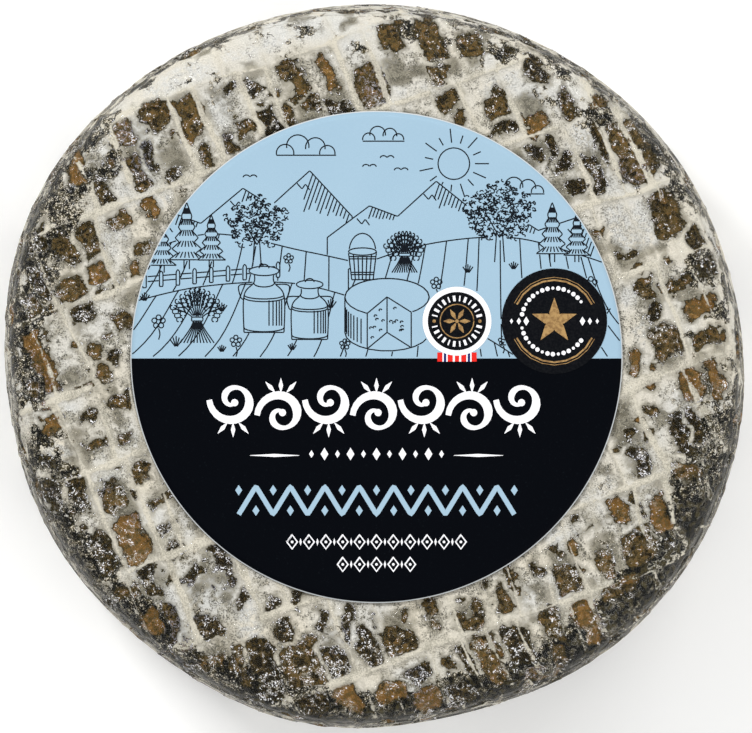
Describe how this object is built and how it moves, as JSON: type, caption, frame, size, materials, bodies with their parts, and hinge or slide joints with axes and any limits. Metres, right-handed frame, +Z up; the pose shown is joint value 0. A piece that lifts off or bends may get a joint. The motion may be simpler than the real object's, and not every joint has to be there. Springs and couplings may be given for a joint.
{
  "type": "blue cheese wheel",
  "caption": "Whole wheel of blue cheese with a ridged, mouldy rind, drawn tight in clear film, with a round printed label on top",
  "frame": {"origin": "on the underside, in the middle of the wheel's box", "axes": "+Z up out of the labelled face, +Y towards the top of the label, +X towards the label's right"},
  "size_m": [0.2108, 0.2062, 0.0883],
  "materials": {
    "rind": "cream and grey blue-mould rind with brown sunken cells, seen through glossy clear film",
    "film": "thin clear vacuum film, glossy, with fine creases",
    "label": "satin printed paper, pale blue above and near black below, with line art"
  },
  "bodies": {
    "root": {"cheese_wheel": "rind", "label": "label"}
  },
  "joints": []
}
